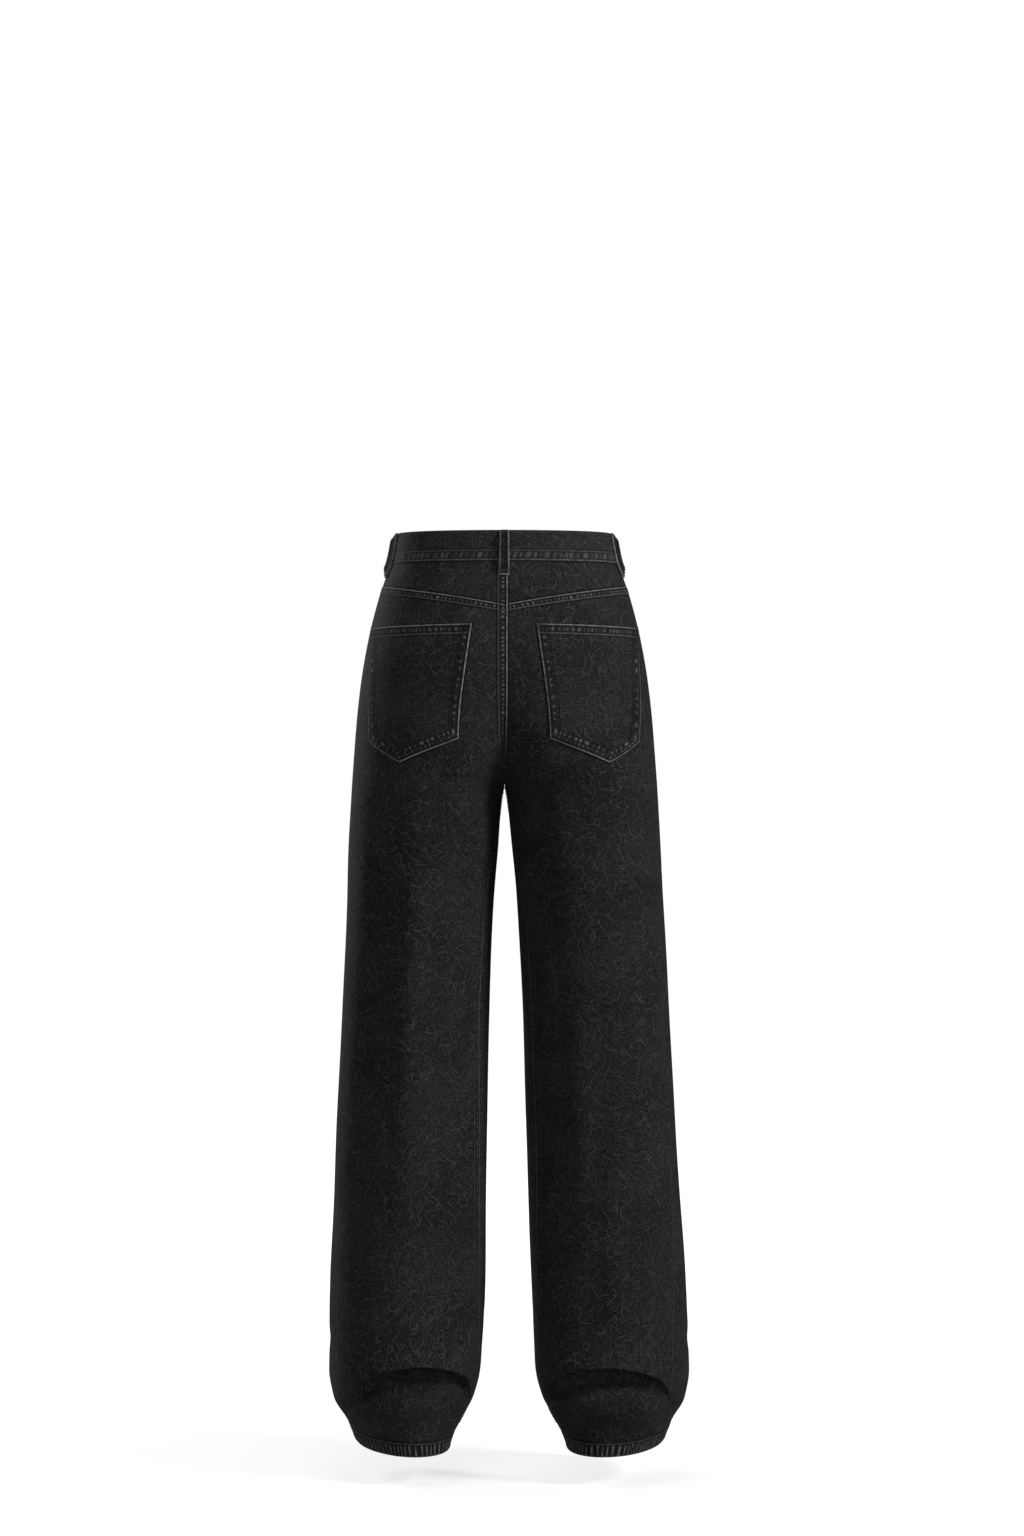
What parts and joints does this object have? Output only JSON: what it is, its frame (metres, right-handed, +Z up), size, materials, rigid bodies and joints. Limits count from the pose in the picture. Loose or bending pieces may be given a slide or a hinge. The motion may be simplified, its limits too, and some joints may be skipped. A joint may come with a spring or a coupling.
{
  "type": "wide-leg jeans",
  "caption": "High-waisted wide-leg jeans in washed black denim, standing open as worn, with belt loops, a back yoke, pointed patch pockets and roomy straight legs.",
  "frame": {"origin": "middle of the waist opening, halfway up the waistband", "axes": "+Z up, +X towards the wearer's left, the front faces -Y"},
  "size_m": [0.4585, 0.279, 1.1616],
  "materials": {
    "black_denim": "washed black twill",
    "faded_denim": "washed black twill, slightly faded",
    "dark_metal": "dark plated"
  },
  "bodies": {
    "root": {"back_leg_left": "black_denim", "front_leg_left": "black_denim", "yoke_left": "black_denim", "back_pocket_left": "black_denim", "pocket_facing_left": "black_denim", "back_leg_right": "black_denim", "front_leg_right": "black_denim", "yoke_right": "black_denim", "back_pocket_right": "black_denim", "pocket_facing_right": "black_denim", "fly_shield": "black_denim", "waistband": "black_denim", "belt_loop_back": "faded_denim", "belt_loop_side_left": "faded_denim", "belt_loop_side_right": "faded_denim", "belt_loop_front_left": "faded_denim", "belt_loop_front_right": "faded_denim", "hem_left": "faded_denim", "hem_right": "faded_denim", "waist_button": "dark_metal"}
  },
  "joints": []
}
